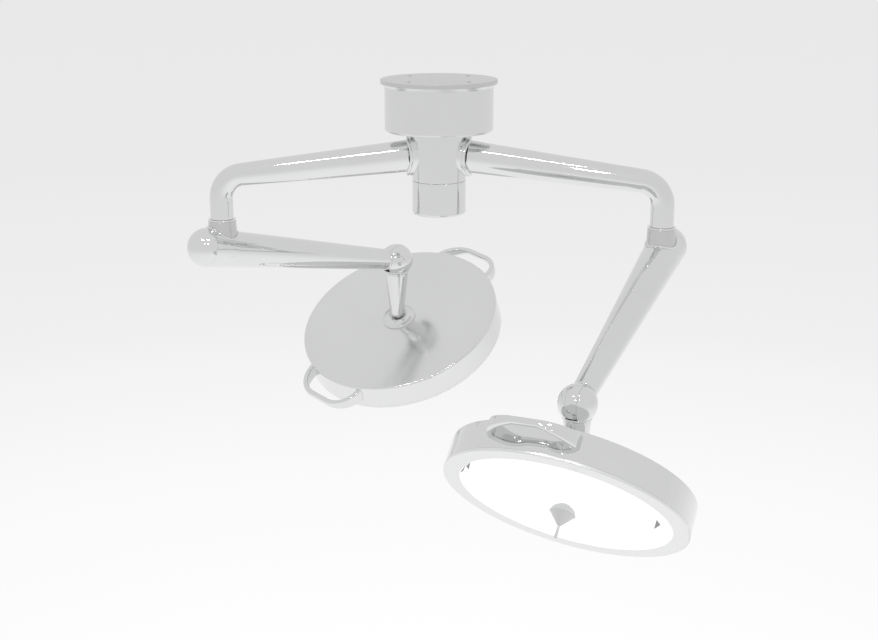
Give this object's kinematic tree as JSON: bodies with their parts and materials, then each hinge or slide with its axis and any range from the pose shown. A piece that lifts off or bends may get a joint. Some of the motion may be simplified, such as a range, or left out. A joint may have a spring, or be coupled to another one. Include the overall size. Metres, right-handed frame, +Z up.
{
  "type": "ceiling operating light",
  "caption": "Ceiling-mounted twin-head dental operating light: round canopy and column, jointed chrome arms, disc heads with side grips and a centre focus handle.",
  "frame": {"origin": "centre of the ceiling plate's top face, on the column's axis", "axes": "+Z up towards the ceiling, +X towards the right arm, +Y away from the viewer"},
  "size_m": [1.1139, 1.314, 0.9613],
  "materials": {
    "chrome": "polished chrome on steel",
    "chrome_cast": "chromed casting, polished",
    "satin_steel": "satin",
    "satin_steel_handle": "satin",
    "satin_paint": "satin light grey",
    "satin_aluminium": "satin",
    "reflector": "bright, dimpled",
    "heat_sink": "cast",
    "steel": "machined",
    "spring_steel": "oiled",
    "bronze": "machined",
    "winding": "taped winding",
    "black_plastic": "matt",
    "grey_rubber": "smooth soft sleeve",
    "glass": "frosted"
  },
  "bodies": {
    "ceiling_fixing": {"ceiling_plate": "satin_steel", "canopy": "satin_paint", "canopy_screws": "steel", "transformer": "winding", "main_spindle": "steel", "spindle_nut": "steel", "slip_ring": "black_plastic"},
    "hub": {"hub_body": "chrome", "hub_bushes": "bronze", "bottom_cap": "chrome", "left_extension_arm": "chrome", "left_elbow_bushes": "bronze", "right_extension_arm": "chrome", "right_elbow_bushes": "bronze"},
    "left_carrier": {"left_elbow_spindle": "steel", "left_swivel_collar": "chrome", "left_shoulder_boot": "grey_rubber"},
    "left_spring_arm": {"left_arm_shell": "chrome_cast", "left_arm_end_cap": "chrome_cast", "left_pivot_pin": "steel", "left_balance_spring": "spring_steel", "left_spring_rod": "steel", "left_arm_end_ring": "chrome_cast", "left_knuckle_tongue": "chrome_cast"},
    "left_link": {"left_level_link": "steel"},
    "left_knuckle": {"left_knuckle_fork": "chrome_cast", "left_knuckle_pin": "steel", "left_stem_bolt": "steel"},
    "left_stem": {"left_stem": "chrome_cast"},
    "left_head": {"left_ball_socket": "chrome_cast", "left_head_housing": "satin_aluminium", "left_bezel_ring": "satin_aluminium", "left_front_glass": "glass", "left_reflector": "reflector", "left_lamp_module": "heat_sink", "left_grips": "chrome_cast"},
    "left_focus": {"left_focus_handle": "satin_steel_handle"},
    "right_carrier": {"right_elbow_spindle": "steel", "right_swivel_collar": "chrome", "right_shoulder_boot": "grey_rubber"},
    "right_spring_arm": {"right_arm_shell": "chrome_cast", "right_arm_end_cap": "chrome_cast", "right_pivot_pin": "steel", "right_balance_spring": "spring_steel", "right_spring_rod": "steel", "right_arm_end_ring": "chrome_cast", "right_knuckle_tongue": "chrome_cast"},
    "right_link": {"right_level_link": "steel"},
    "right_knuckle": {"right_knuckle_fork": "chrome_cast", "right_knuckle_pin": "steel", "right_stem_bolt": "steel"},
    "right_stem": {"right_stem": "chrome_cast"},
    "right_head": {"right_ball_socket": "chrome_cast", "right_head_housing": "satin_aluminium", "right_bezel_ring": "satin_aluminium", "right_front_glass": "glass", "right_reflector": "reflector", "right_lamp_module": "heat_sink", "right_grips": "chrome_cast"},
    "right_focus": {"right_focus_handle": "satin_steel_handle"}
  },
  "joints": [
    {"name": "hub_swivel", "type": "hinge", "parent": "ceiling_fixing", "child": "hub", "pos_m": [0, 0, -0.16], "axis": [0, 0, 1], "range_deg": [-170, 170]},
    {"name": "left_collar_swivel", "type": "hinge", "parent": "hub", "child": "left_carrier", "pos_m": [-0.48706, 0.04347, -0.315], "axis": [0, 0, 1], "range_deg": [-15, 170]},
    {"name": "left_arm_lift", "type": "hinge", "parent": "left_carrier", "child": "left_spring_arm", "pos_m": [-0.48706, 0.04347, -0.3845], "axis": [0.6314, -0.7755, 0], "range_deg": [-16.6, 15.4], "deforming": ["left_shoulder_boot"]},
    {"name": "left_level_link_swing", "type": "hinge", "parent": "left_carrier", "child": "left_link", "pos_m": [-0.48706, 0.04347, -0.4005], "axis": [0.6314, -0.7755, 0], "range_deg": [-16.6, 15.4]},
    {"name": "left_knuckle_level", "type": "hinge", "parent": "left_spring_arm", "child": "left_knuckle", "pos_m": [-0.10545, 0.35416, -0.48372], "axis": [0.6314, -0.7755, 0], "range_deg": [-15.4, 16.6]},
    {"name": "left_stem_swivel", "type": "hinge", "parent": "left_knuckle", "child": "left_stem", "pos_m": [-0.10545, 0.35416, -0.52372], "axis": [0, 0, 1], "range_deg": [-155, 155]},
    {"name": "left_head_tilt", "type": "hinge", "parent": "left_stem", "child": "left_head", "pos_m": [-0.10545, 0.35416, -0.61822], "axis": [-0.8788, 0.4772, 0], "range_deg": [-17.4, 59.6]},
    {"name": "left_focus_turn", "type": "hinge", "parent": "left_head", "child": "left_focus", "pos_m": [-0.10545, 0.35416, -0.61822], "axis": [-0.2357, -0.4341, 0.8695], "range_deg": [-150, 150]},
    {"name": "right_collar_swivel", "type": "hinge", "parent": "hub", "child": "right_carrier", "pos_m": [0.48706, -0.04347, -0.315], "axis": [0, 0, 1], "range_deg": [-15, 170]},
    {"name": "right_arm_lift", "type": "hinge", "parent": "right_carrier", "child": "right_spring_arm", "pos_m": [0.48706, -0.04347, -0.3845], "axis": [-0.8842, 0.4672, 0], "range_deg": [-4.6, 27.4], "deforming": ["right_shoulder_boot"]},
    {"name": "right_level_link_swing", "type": "hinge", "parent": "right_carrier", "child": "right_link", "pos_m": [0.48706, -0.04347, -0.4005], "axis": [-0.8842, 0.4672, 0], "range_deg": [-4.6, 27.4]},
    {"name": "right_knuckle_level", "type": "hinge", "parent": "right_spring_arm", "child": "right_knuckle", "pos_m": [0.27184, -0.45082, -0.58387], "axis": [-0.8842, 0.4672, 0], "range_deg": [-27.4, 4.6]},
    {"name": "right_stem_swivel", "type": "hinge", "parent": "right_knuckle", "child": "right_stem", "pos_m": [0.27184, -0.45082, -0.62387], "axis": [0, 0, 1], "range_deg": [-155, 155]},
    {"name": "right_head_tilt", "type": "hinge", "parent": "right_stem", "child": "right_head", "pos_m": [0.27184, -0.45082, -0.71837], "axis": [0.8973, -0.4415, 0], "range_deg": [-3.6, 73.4]},
    {"name": "right_focus_turn", "type": "hinge", "parent": "right_head", "child": "right_focus", "pos_m": [0.27184, -0.45082, -0.71837], "axis": [0.3034, 0.6165, 0.7266], "range_deg": [-150, 150]}
  ],
  "couplings": [
    {"joint": "left_level_link_swing", "follows": "left_arm_lift", "ratio": 1},
    {"joint": "left_knuckle_level", "follows": "left_arm_lift", "ratio": -1},
    {"joint": "right_level_link_swing", "follows": "right_arm_lift", "ratio": 1},
    {"joint": "right_knuckle_level", "follows": "right_arm_lift", "ratio": -1}
  ]
}
